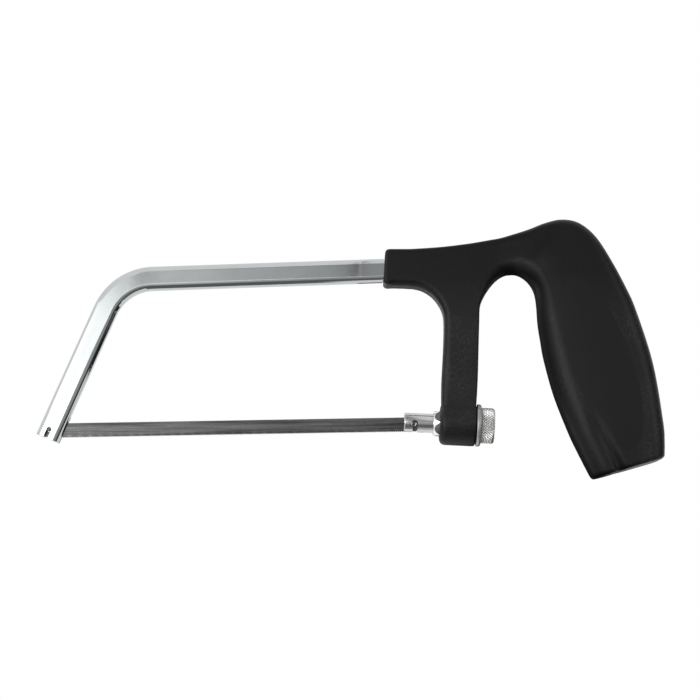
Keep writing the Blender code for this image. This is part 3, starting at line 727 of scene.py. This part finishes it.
def blade_columns():
    """(x, lowest z) along the toothed edge."""
    gullet = BLADE_LOW.z + TOOTH_DEPTH
    length = BLADE_HIGH.x - BLADE_LOW.x
    teeth = int(length / TOOTH_PITCH) - 1
    start = BLADE_LOW.x + (length - teeth * TOOTH_PITCH) / 2
    columns = [(BLADE_LOW.x, gullet)]
    for i in range(teeth):
        x = start + i * TOOTH_PITCH
        columns += [(x, gullet), (x + TOOTH_LEAN * TOOTH_PITCH, BLADE_LOW.z)]
    return columns + [(start + teeth * TOOTH_PITCH, gullet), (BLADE_HIGH.x, gullet)]


def blade_top(x):
    """Height of the blade's back, with its two rounded corners."""
    inward = min(x - BLADE_LOW.x, BLADE_HIGH.x - x)
    short = max(0, BLADE_CORNER - inward)
    return BLADE_HIGH.z - BLADE_CORNER + sqrt(BLADE_CORNER ** 2 - short ** 2)


def make_blade(mat):
    columns = blade_columns()
    ends = [BLADE_CORNER * (1 - cos(a)) for a in QUARTER_TURN[1:]]
    gullet = columns[0][1]
    columns += [(BLADE_LOW.x + way, gullet) for way in ends if way < columns[1][0] - BLADE_LOW.x]
    columns += [(BLADE_HIGH.x - way, gullet) for way in ends if way < BLADE_HIGH.x - columns[-2][0]]
    set_top = BLADE_LOW.z + SET_START
    rings = []
    for x, low in sorted(columns):
        throw = SET_THROW * sin(tau * x / SET_PERIOD)
        top = blade_top(x)
        side = []
        for z in (top, (top + set_top) / 2, set_top, (set_top + gullet) / 2, gullet, low):
            lean = max(0, (set_top - z) / SET_START)
            side.append((z, throw * lean ** 2))
        ring = [(x, shift - BLADE_THICKNESS / 2, z) for z, shift in side]
        ring += [(x, shift + BLADE_THICKNESS / 2, z) for z, shift in reversed(side)]
        rings.append(ring)
    bm = loft(rings)
    bmesh.ops.remove_doubles(bm, verts=bm.verts, dist=MERGE)
    blade = piece("toothed_saw_blade", bm)
    wide = PIN_RADIUS + GAP
    for pin in (FRONT_PIN, REAR_PIN):
        boolean(blade, "cut_hole", crosswise([(wide, -PIN_LENGTH), (wide, PIN_LENGTH)]), at(pin))
    dress(settle(blade), "blade", "saw_blade", mat)


# Tensioner: Z runs along the stud, X points down

def make_stud(mat, flats, taper):
    into = HEX_LENGTH / 4
    profile = arc((BARREL_RADIUS - BARREL_CHAMFER, BARREL_CHAMFER - BARREL_FRONT), BARREL_CHAMFER,
                  -pi / 2, 0, CHAMFER_ARC)
    profile.append((BARREL_RADIUS, BARREL_END + into))
    stud = piece("steel_tension_stud", turned(profile), TENSION_FRAME)

    corner = HEX_ACROSS_FLATS / 2 / cos(pi / 6)
    collar = turned([(corner, BARREL_END), (corner, SHANK_START)], 6, pi / 6)
    collar = boolean(stud, "join_hex", collar, TENSION_FRAME, "UNION")
    reach = 2 * HEX_LENGTH
    wide = HEX_TAPER_RADIUS + HEX_TAPER_SLOPE * reach
    cone = turned([(HEX_TAPER_RADIUS, BARREL_END), (wide, BARREL_END + reach)], CHAMFER_ROUND)
    boolean(collar, "cut_chamfer", cone, TENSION_FRAME, "INTERSECT")
    shank = threaded(SHANK_START - into, SHANK_END)
    boolean(stud, "join_shank", shank, TENSION_FRAME, "UNION")

    reach = 3 * BARREL_RADIUS
    boolean(stud, "cut_stud_kerf", kerf(reach, STUD_KERF_END), TENSION_FRAME)
    wide = PIN_RADIUS + GAP
    seat = STUD_ABOVE_PIN
    notch = [(reach, HOOK_STEP - wide), (reach, HOOK_STEP + wide)]
    notch += arc((seat, HOOK_STEP), wide, pi / 2, pi)
    notch += arc((seat, 0), wide, pi, 1.5 * pi)
    notch += [(seat + wide, -wide), (seat + wide, HOOK_STEP - wide)]
    boolean(stud, "cut_notch", prism(notch, reach), TENSION_FRAME)
    dress(settle(stud), "tensioner", "tension_stud", mat)
    stud.data.materials.append(flats)
    stud.data.materials.append(taper)
    for face in stud.data.polygons:
        away = face.center.x * face.normal.x + face.center.y * face.normal.y
        if abs(face.normal.z) < FLAT_LEAN and abs(away - HEX_ACROSS_FLATS / 2) < FLAT_SLACK:
            face.material_index = 1
        elif TAPER_LEAN[0] < face.normal.z < TAPER_LEAN[1] and away > BARREL_RADIUS:
            face.material_index = 2


def make_washer(mat):
    edge = WASHER_RIM / 3
    profile = [(SHANK_BORE, WASHER_START), (WASHER_RADIUS - edge, WASHER_START)]
    profile += arc((WASHER_RADIUS - edge, WASHER_START + edge), edge, -pi / 2, 0, CHAMFER_ARC)
    profile += arc((WASHER_RADIUS - WASHER_RIM, WASHER_END - WASHER_RIM), WASHER_RIM, 0, pi / 2, RIM_ARC)
    profile += [(NUT_RADIUS - edge, WASHER_END), (NUT_RADIUS - edge, NUT_START), (SHANK_BORE, NUT_START)]
    washer = piece("steel_thrust_washer", ring_solid([profile] * ROUND), TENSION_FRAME)
    dress(settle(washer), "frame", "thrust_washer", mat)


def make_nut(mat):
    low, high = NUT_START + NUT_EDGE / 8, NUT_END - NUT_EDGE
    rows = round((high - low) / KNURL_PITCH * KNURL_STEPS)
    columns = []
    for i in range(KNURL_COUNT * KNURL_STEPS):
        around = i / KNURL_STEPS
        profile = [(SHANK_BORE, low)]
        for k in range(rows + 1):
            height = low + (high - low) * k / rows
            along = (height - low) / KNURL_PITCH
            cut = max(zigzag(around + along), zigzag(around - along))
            profile.append((NUT_RADIUS - KNURL_DEPTH * cut ** KNURL_CURVE, height))
        profile += [(NUT_RADIUS - NUT_EDGE / 2, NUT_END - NUT_EDGE / 4), (NUT_RADIUS - NUT_EDGE, NUT_END)]
        profile += [(SHANK_BORE + NUT_EDGE / 2, NUT_END), (SHANK_BORE, NUT_END - NUT_EDGE / 2)]
        columns.append(profile)
    nut = piece("steel_knurled_nut", ring_solid(columns), TENSION_FRAME)
    dress(settle(nut), "nut", "knurled_nut", mat)


# Materials

def add_node(tree, kind, inputs=(), **settings):
    """A shader node with its settings and its inputs, which are values or other nodes' outputs."""
    node = tree.nodes.new("ShaderNode" + kind)
    for name, value in settings.items():
        setattr(node, name, value)
    for socket, value in dict(inputs).items():
        if isinstance(value, bpy.types.NodeSocket):
            tree.links.new(value, node.inputs[socket])
        else:
            node.inputs[socket].default_value = value
    return node


def calc(operation, *values):
    """Result of a maths node. The first value is a node's output, which knows its tree."""
    tree = values[0].id_data
    return add_node(tree, "Math", dict(enumerate(values)), operation=operation).outputs["Value"]


def vector_calc(operation, *values):
    """Vector or value that a vector maths node gives."""
    node = add_node(values[0].id_data, "VectorMath", dict(enumerate(values)), operation=operation)
    return node.outputs["Value" if operation in ("LENGTH", "DOT_PRODUCT") else "Vector"]


def own_place(tree):
    """Place in the piece's own coordinates."""
    return add_node(tree, "TexCoord").outputs["Object"]


def own_xyz(tree):
    return add_node(tree, "SeparateXYZ", {"Vector": own_place(tree)}).outputs


def principled(name, **sockets):
    mat = bpy.data.materials.new(name)
    mat.use_nodes = True
    shader = mat.node_tree.nodes["Principled BSDF"]
    for socket, value in sockets.items():
        shader.inputs[socket.replace("_", " ")].default_value = value
    return mat.node_tree, mat


def paint(mat, **outputs):
    """Link outputs of nodes to the sockets of a material's shader."""
    tree = mat.node_tree
    for socket, output in outputs.items():
        tree.links.new(output, tree.nodes["Principled BSDF"].inputs[socket.replace("_", " ")])
    return mat


def noise(tree, scale, detail=4.0, roughness=0.5, stretch=(1, 1, 1)):
    """Noise over the piece's own coordinates, in cycles per metre."""
    spread = add_node(tree, "Mapping", {"Vector": own_place(tree), "Scale": stretch})
    inputs = {"Vector": spread.outputs["Vector"], "Scale": scale, "Detail": detail, "Roughness": roughness}
    return add_node(tree, "TexNoise", inputs).outputs["Fac"]


def remap(value, low, high, to_low=0, to_high=1):
    inputs = {"Value": value, "From Min": low, "From Max": high, "To Min": to_low, "To Max": to_high}
    return add_node(value.id_data, "MapRange", inputs).outputs["Result"]


def ranged(value, low, high):
    """Noise brought to a range."""
    return remap(value, *NOISE_SPAN, low, high)


def shades(value, dark, light):
    """Colour that runs from dark to light with a value from 0 to 1."""
    ramp = add_node(value.id_data, "ValToRGB", {"Fac": value})
    ramp.color_ramp.elements[0].color = (*dark, 1)
    ramp.color_ramp.elements[1].color = (*light, 1)
    return ramp.outputs["Color"]


def noise_shades(value, dark, light):
    return shades(remap(value, *NOISE_SPAN), dark, light)


def bump(height, distance, strength=1.0, normal=None):
    inputs = {"Height": height, "Distance": distance, "Strength": strength}
    if normal is not None:
        inputs["Normal"] = normal
    return add_node(height.id_data, "Bump", inputs).outputs["Normal"]


def plated_steel():
    """Bright zinc plate: clouded a little, with fine specks."""
    tree, mat = principled("plated_steel", Metallic=1)
    cloud = noise(tree, 140, 5)
    fine = noise(tree, 2600, 3)
    rolled = bump(noise(tree, 65, 1), 0.03 * MM)
    return paint(
        mat,
        Base_Color=noise_shades(cloud, (0.525, 0.55, 0.555), (0.565, 0.585, 0.59)),
        Roughness=ranged(cloud, 0.045, 0.075),
        Normal=bump(fine, 0.006 * MM, normal=rolled))


def bright_steel():
    """Turned bright steel with fine rings across its axis."""
    tree, mat = principled("bright_steel", Metallic=1)
    rings = noise(tree, 900, 3, 0.6, (0.05, 0.05, 4))
    cloud = noise(tree, 300, 3)
    return paint(
        mat,
        Base_Color=noise_shades(cloud, (0.57, 0.57, 0.57), (0.64, 0.64, 0.635)),
        Roughness=ranged(rings, 0.13, 0.24),
        Normal=bump(rings, 0.004 * MM))


def dull_steel():
    """Barrelled zinc, matt and pale."""
    tree, mat = principled("dull_steel", Metallic=1)
    cloud = noise(tree, 400, 4)
    return paint(
        mat,
        Base_Color=noise_shades(cloud, (0.5, 0.5, 0.495), (0.6, 0.6, 0.59)),
        Roughness=ranged(cloud, 0.42, 0.55),
        Normal=bump(noise(tree, 2500, 2), 0.006 * MM))


def knurled_steel():
    """Plated knurl, with painted shade in its grooves: its base colour is darker there than on the crests.
    """
    tree, mat = principled("knurled_steel", Metallic=1)
    away = vector_calc("LENGTH", vector_calc("MULTIPLY", own_place(tree), (1, 1, 0)))
    shaded_radius, bright = [NUT_RADIUS - share * KNURL_DEPTH for share in KNURL_SHADE_DEPTHS]
    beyond = remap(own_xyz(tree)["Z"], NUT_END - NUT_EDGE, NUT_END - 0.8 * NUT_EDGE)
    # painted shade: the knurl's grooves get a darker base colour, while its crests and chamfered end keep
    # the full colour
    knurl_lit = calc("MAXIMUM", remap(away, shaded_radius, bright), beyond)
    return paint(
        mat,
        Base_Color=shades(knurl_lit, (0.38, 0.38, 0.38), (0.9, 0.9, 0.89)),
        Roughness=ranged(noise(tree, 500, 4), 0.34, 0.46),
        Normal=bump(noise(tree, 3000, 2), 0.005 * MM))


def grained_steel(name, grain, dark, light, roughness, depth, contrast):
    """Metal whose colour, gloss and relief all follow one grain, given as noise arguments."""
    tree, mat = principled(name, Metallic=1)
    grain = noise(tree, *grain)
    return paint(
        mat,
        Base_Color=shades(remap(grain, *contrast), [dark] * 3, [light] * 3),
        Roughness=ranged(grain, *roughness),
        Normal=bump(grain, depth))


def polished_steel():
    """Taper of the hexagon, freshly turned: very bright, with fine rings."""
    return grained_steel("polished_steel", (1200, 3, 0.6, (0.05, 0.05, 5)), dark=0.86, light=0.95,
                         roughness=(0.16, 0.24), depth=0.003 * MM, contrast=NOISE_SPAN)


def hex_flat_steel():
    """Flats of the hexagon: dark grey with streaks along the axis, far darker than its turned taper."""
    # the flats get a much darker base colour than the taper beside them
    return grained_steel("hex_flat_steel", (700, 4, 0.6, (3, 3, 0.2)), dark=0.17, light=0.27,
                         roughness=(0.4, 0.5), depth=0.01 * MM, contrast=NOISE_SPAN)


def dark_steel():
    """Blade pins: the same temper as the blade, worn in fine scratches."""
    return grained_steel("dark_steel", (1600, 4, 0.65, (1, 0.2, 2)), dark=0.06, light=0.2,
                         roughness=(0.4, 0.55), depth=0.01 * MM, contrast=(0.35, 0.7))


def blade_steel():
    """Rolled strip: streaks along the blade under a dark temper, darkest at the teeth."""
    tree, mat = principled("blade_steel", Metallic=1)
    streaks = noise(tree, 260, 6, 0.65, (0.07, 1, 2.7))
    mottle = noise(tree, 700, 4, 0.6, (0.5, 1, 1))
    start, end = BLADE_LOW.z + SET_START / 2, BLADE_LOW.z + SET_START
    temper = remap(own_xyz(tree)["Z"], start, end, TOOTH_SHADE, 1)
    strip = noise_shades(streaks, (0.03, 0.03, 0.031), (0.195, 0.195, 0.195))
    return paint(
        mat,
        Base_Color=vector_calc("MULTIPLY", strip, temper),
        Roughness=ranged(mottle, 0.24, 0.36),
        Normal=bump(streaks, 0.02 * MM))


def bare_panel(tree):
    """1 on the smooth panel of the grip and 0 on the grained surface round it."""
    inputs = {"Vector": own_place(tree), "Location": handle_point(PANEL_AT),
              "Rotation": (0, -PANEL_LEAN, 0), "Scale": (PANEL_SIZE[0], 1, PANEL_SIZE[1])}
    spread = add_node(tree, "Mapping", inputs, vector_type="TEXTURE").outputs["Vector"]
    away = vector_calc("LENGTH", vector_calc("MULTIPLY", spread, (1, 0, 1)))
    return remap(away, PANEL_RIM, 1, 1, 0)


def black_paint():
    """Black moulding: a fine pebbled grain round a smooth panel, with painted glints on the grain's tips and
    painted shade in its hollows.
    """
    tree, mat = principled("black_paint", Metallic=0, Specular_IOR_Level=0.24)
    grain = noise(tree, 1100, 2, 0.5)
    clouded = remap(noise(tree, 60, 2), 0.4, 0.62, 0.205, 0.537)
    # painted glints and shade: the base colour follows the grain's relief, lighter on its tips and darker in
    # its hollows
    tips = remap(grain, 0.42, 0.68, 0.136, clouded)
    place = own_xyz(tree)
    # painted light and shade on the grain: paler on the post and at the back, darker over the top of the
    # handle
    painted_light = remap(place["X"], *PAINTED_LIGHT_BACK, 1, BACK_PAINTED_LIGHT)
    painted_light = remap(place["X"], *PAINTED_LIGHT_POST, POST_PAINTED_LIGHT, painted_light)
    painted_light = remap(place["Z"], *PAINTED_LIGHT_BELOW, painted_light, 0)
    panel = bare_panel(tree)
    specks = remap(panel, 0, 1, calc("MULTIPLY", tips, painted_light), PANEL_TONE)
    return paint(
        mat,
        Base_Color=shades(specks, (0.0045, 0.0045, 0.0048), (0.026, 0.026, 0.0267)),
        Roughness=ranged(grain, 0.40, 0.52),
        Normal=bump(grain, 0.07 * MM, remap(panel, 0, 1, 1, 0)))


# Stage

def make_world():
    """White to the eye, in metal and through glass; otherwise a plain light that falls off downwards."""
    world = bpy.data.worlds.new("studio")
    world.use_nodes = True
    tree = world.node_tree
    path = add_node(tree, "LightPath").outputs
    seen = path["Is Camera Ray"]
    for ray in ("Is Glossy Ray", "Is Transmission Ray"):
        seen = calc("MAXIMUM", seen, path[ray])
    way = add_node(tree, "TexCoord").outputs["Generated"]
    rise = add_node(tree, "SeparateXYZ", {"Vector": way}).outputs["Z"]
    level = remap(rise, *SKY_SPAN, SKY_LOW, SKY_HIGH)
    sky = tree.nodes["Background"]
    sky.inputs["Color"].default_value = WHITE
    tree.links.new(remap(seen, 0, 1, level, 1), sky.inputs["Strength"])
    bpy.context.scene.world = world


def make_floor():
    """Pale round floor that fades into the white all round."""
    bm = bmesh.new()
    bmesh.ops.create_circle(bm, cap_ends=True, segments=FLOOR_SIDES, radius=FLOOR_RADIUS)
    low, high = CAD_BOX
    floor = piece("floor", bm, at(((low.x + high.x) / 2, 0, low.z - FLOOR_BELOW)))
    tree, mat = principled("pale_floor", Base_Color=(0.9, 0.9, 0.9, 1), Roughness=0.9)
    matt = tree.nodes["Principled BSDF"]
    start, end = [share * FLOOR_RADIUS for share in FLOOR_FADE]
    inputs = {"Value": vector_calc("LENGTH", own_place(tree)), "From Min": start, "From Max": end}
    fade = add_node(tree, "MapRange", inputs, interpolation_type="SMOOTHSTEP").outputs["Result"]
    glow = add_node(tree, "Emission", {"Color": WHITE, "Strength": 1.0}).outputs["Emission"]
    mix = add_node(tree, "MixShader", {"Fac": fade, 1: matt.outputs["BSDF"], 2: glow})
    tree.links.new(mix.outputs["Shader"], tree.nodes["Material Output"].inputs["Surface"])
    floor.data.materials.append(mat)
    floor.visible_glossy = floor.visible_diffuse = False


def glowing_card(name, bm):
    """Card that shows in reflections alone; its strength is left open."""
    mat = bpy.data.materials.new(name)
    mat.use_nodes = True
    tree = mat.node_tree
    tree.nodes.clear()
    out = add_node(tree, "OutputMaterial")
    glow = add_node(tree, "Emission", {"Color": WHITE})
    tree.links.new(glow.outputs["Emission"], out.inputs["Surface"])
    card = piece(name, bm)
    card.data.materials.append(mat)
    card.visible_camera = card.visible_diffuse = card.visible_shadow = False
    return tree, glow.inputs["Strength"]


def levels(value, stops):
    """Strength that runs through (place, level) stops with a value from the first place to the last."""
    low, high = stops[0][0], stops[-1][0]
    ramp = add_node(value.id_data, "ValToRGB", {"Fac": remap(value, low, high)})
    elements = ramp.color_ramp.elements
    while len(elements) < len(stops):
        elements.new(0.5)
    for element, (place, level) in zip(elements, stops):
        element.position = (place - low) / (high - low)
        element.color = (level, level, level, 1)
    return ramp.outputs["Color"]


def ribbon(rows):
    """Mesh with a face from each row of two points to the next."""
    bm = bmesh.new()
    rows = [[bm.verts.new(point) for point in row] for row in rows]
    for near, far in zip(rows, rows[1:]):
        bm.faces.new((near[0], near[1], far[1], far[0]))
    return bm


def curved_card(sides, span, steps):
    """Ribbon bent round the saw in front of it, between two angles above it, in degrees."""
    start, end = [pi - radians(angle) for angle in span]
    return ribbon([[(x, y, z) for x in sides] for y, z in arc((0, 0), CARD_RADIUS, start, end, steps)])


def make_front_card():
    """Curved grey card behind the camera, which gives the plated metal its bands."""
    stops = [(radians(angle), level) for angle, level in CARD_STOPS]
    sides = (CARD_ACROSS[0][0], CARD_ACROSS[-1][0])
    span = (CARD_STOPS[0][0], CARD_STOPS[-1][0])
    tree, strength = glowing_card("front_card", curved_card(sides, span, CARD_STEPS))
    place = own_xyz(tree)
    rise = calc("ARCSINE", calc("DIVIDE", place["Z"], CARD_RADIUS))
    run = calc("ADD", place["X"], levels(place["Z"], CARD_SHIFT))
    level = levels(run, CARD_ACROSS)
    tree.links.new(remap(levels(rise, stops), 0, 1, CARD_DARK, level), strength)


def make_leg_card(name, stops, spans):
    """Bright card bent round the leg, which gives an edge of the leg its bright and its dark lines."""
    outward = across(LEG_ANGLE)
    foot = FRONT_PIN - LEG_WAY * FRONT_PIN.dot(LEG_WAY)
    columns = []
    for (run, _), span in zip((stops[0], stops[-1]), spans):
        edge = arc((0, 0), LEG_CARD_RADIUS, *[radians(angle) for angle in span])
        end = foot + LEG_WAY * run
        columns.append([end + outward * side - Vector((0, ahead, 0)) for ahead, side in edge])
    tree, strength = glowing_card(name, ribbon(zip(*columns)))
    run = vector_calc("DOT_PRODUCT", own_place(tree), LEG_WAY)
    tree.links.new(levels(run, stops), strength)


def make_plain_card(name, bm, level):
    """Card of one level."""
    glowing_card(name, bm)[1].default_value = level


def make_flag(name, level, x, y, z):
    """Flat flag that keeps the white off an edge: one of X, Y and Z is a place, the others are spans."""
    corners = list(product(*[v if isinstance(v, tuple) else (v,) for v in (x, y, z)]))
    make_plain_card(name, ribbon([corners[:2], corners[2:]]), level)


def make_flags():
    # low on the right, for the dark line on the inner edge of the leg
    make_flag("right_flag", 0.05, x=0.8, y=(-1.2, -0.33), z=(-0.8, -0.15))
    # low on the left, for the front of the grip
    make_flag("left_flag", FLAG_DARK, x=-0.5, y=(-0.35, 0.8), z=(-0.085, 0))
    make_flag("left_low_flag", 0.7, x=-0.5, y=(-0.35, 0.8), z=(-0.7, -0.085))
    # on the right, for the dark line along the back of the grip
    make_flag("back_flag", FLAG_DARK, x=0.5, y=(-0.2, 0.25), z=(-0.25, 0.45))
    # at the upper left of the front card, for the outer edge of the bend
    make_flag("corner_flag", 1, x=(-0.45, -0.36), y=-1.1, z=(0.28, 0.6))
    # left of the handle's top, and high in front of it: two slanted flags that keep its upper half dark
    make_plain_card("brow_flag", ribbon([[(-0.1, y, z) for z in (low, 0.4)] for y, low in BROW_FLAG]), 0.12)
    make_plain_card("high_flag", ribbon([[(x, y, z) for x in (0.07, 0.9)] for y, z in HIGH_FLAG]), 0.05)
    # under the handle, for the arch and the butt
    make_flag("under_flag", FLAG_DARK, x=(-0.047, 0.03), y=(-0.1, 0.12), z=-0.075)
    # between the post and the grip, for the outline of both
    make_flag("gap_flag", 0.12, x=-0.045, y=(0.003, 0.06), z=(-0.03, 0.026))
    # close behind the grip, for its outline at the front and below
    make_flag("near_flag", FLAG_DARK, x=(-0.062, 0.012), y=0.06, z=(-0.1, 0.05))
    make_flag("mouth_flag", 0.06, x=(-0.1, -0.062), y=0.06, z=(-0.045, 0.012))


def make_lamp(name, place, size, watts, in_metal=True):
    """Soft box that faces the saw."""
    lamp = bpy.data.lights.new(name, "AREA")
    lamp.shape = "RECTANGLE"
    lamp.size, lamp.size_y = size
    lamp.energy = watts
    thing = add_object(name, lamp)
    thing.location = place
    aim = Vector(LAMPS_AIM_AT) - Vector(place)
    thing.rotation_euler = aim.to_track_quat("-Z", "Y").to_euler()
    thing.visible_glossy = in_metal


def make_camera():
    low, high = CAD_BOX
    data = bpy.data.cameras.new("camera")
    data.sensor_width = SENSOR
    data.lens = SENSOR * VIEW_DISTANCE / VIEW_WIDTH
    camera = add_object("camera", data)
    back = Vector((0, -cos(VIEW_ELEVATION), sin(VIEW_ELEVATION)))
    upright = (-back).to_track_quat("-Z", "Y").to_matrix().to_4x4()
    turn = upright @ Matrix.Rotation(-VIEW_ROLL, 4, "Z")
    aim = (low + high) / 2 + turn.to_3x3() @ Vector((*VIEW_OFFSET, 0))
    camera.matrix_world = at(aim + back * VIEW_DISTANCE) @ turn
    bpy.context.scene.camera = camera


make_bar(plated_steel())
make_handle(black_paint())
make_pins("frame_pin", FRAME_PIN_RADIUS, FRAME_PIN_CHAMFER, "frame", dull_steel())
make_blade(blade_steel())
make_pins("blade_pin", PIN_RADIUS, PIN_RADIUS / 8, "blade", dark_steel())
make_stud(bright_steel(), hex_flat_steel(), polished_steel())
make_washer(dull_steel())
make_nut(knurled_steel())

make_world()
make_floor()
make_front_card()
make_leg_card("outer_card", OUTER_CARD, OUTER_CARD_SPANS)
make_leg_card("inner_card", INNER_CARD, INNER_CARD_SPANS)
# Dark card under the bar, which widens the dark band along its lower edge
make_plain_card("low_card", curved_card(LOW_CARD_SIDES, LOW_CARD_SPAN, ARC_STEPS), CARD_DARK)
make_flags()
make_lamp("left_softbox", (-0.77, -1.02, 0), size=(0.8, 0.5), watts=4.5)
make_lamp("top_softbox", (-0.1, -0.5, 1.2), size=(1.0, 0.6), watts=4, in_metal=False)
make_lamp("front_softbox", (0.25, -1.4, 0.5), size=(1.2, 1.0), watts=6, in_metal=False)
make_lamp("right_softbox", (0.75, -1.0, 0.42), size=(0.6, 0.7), watts=2.5)
make_camera()
bpy.context.scene.view_settings.view_transform = "Standard"
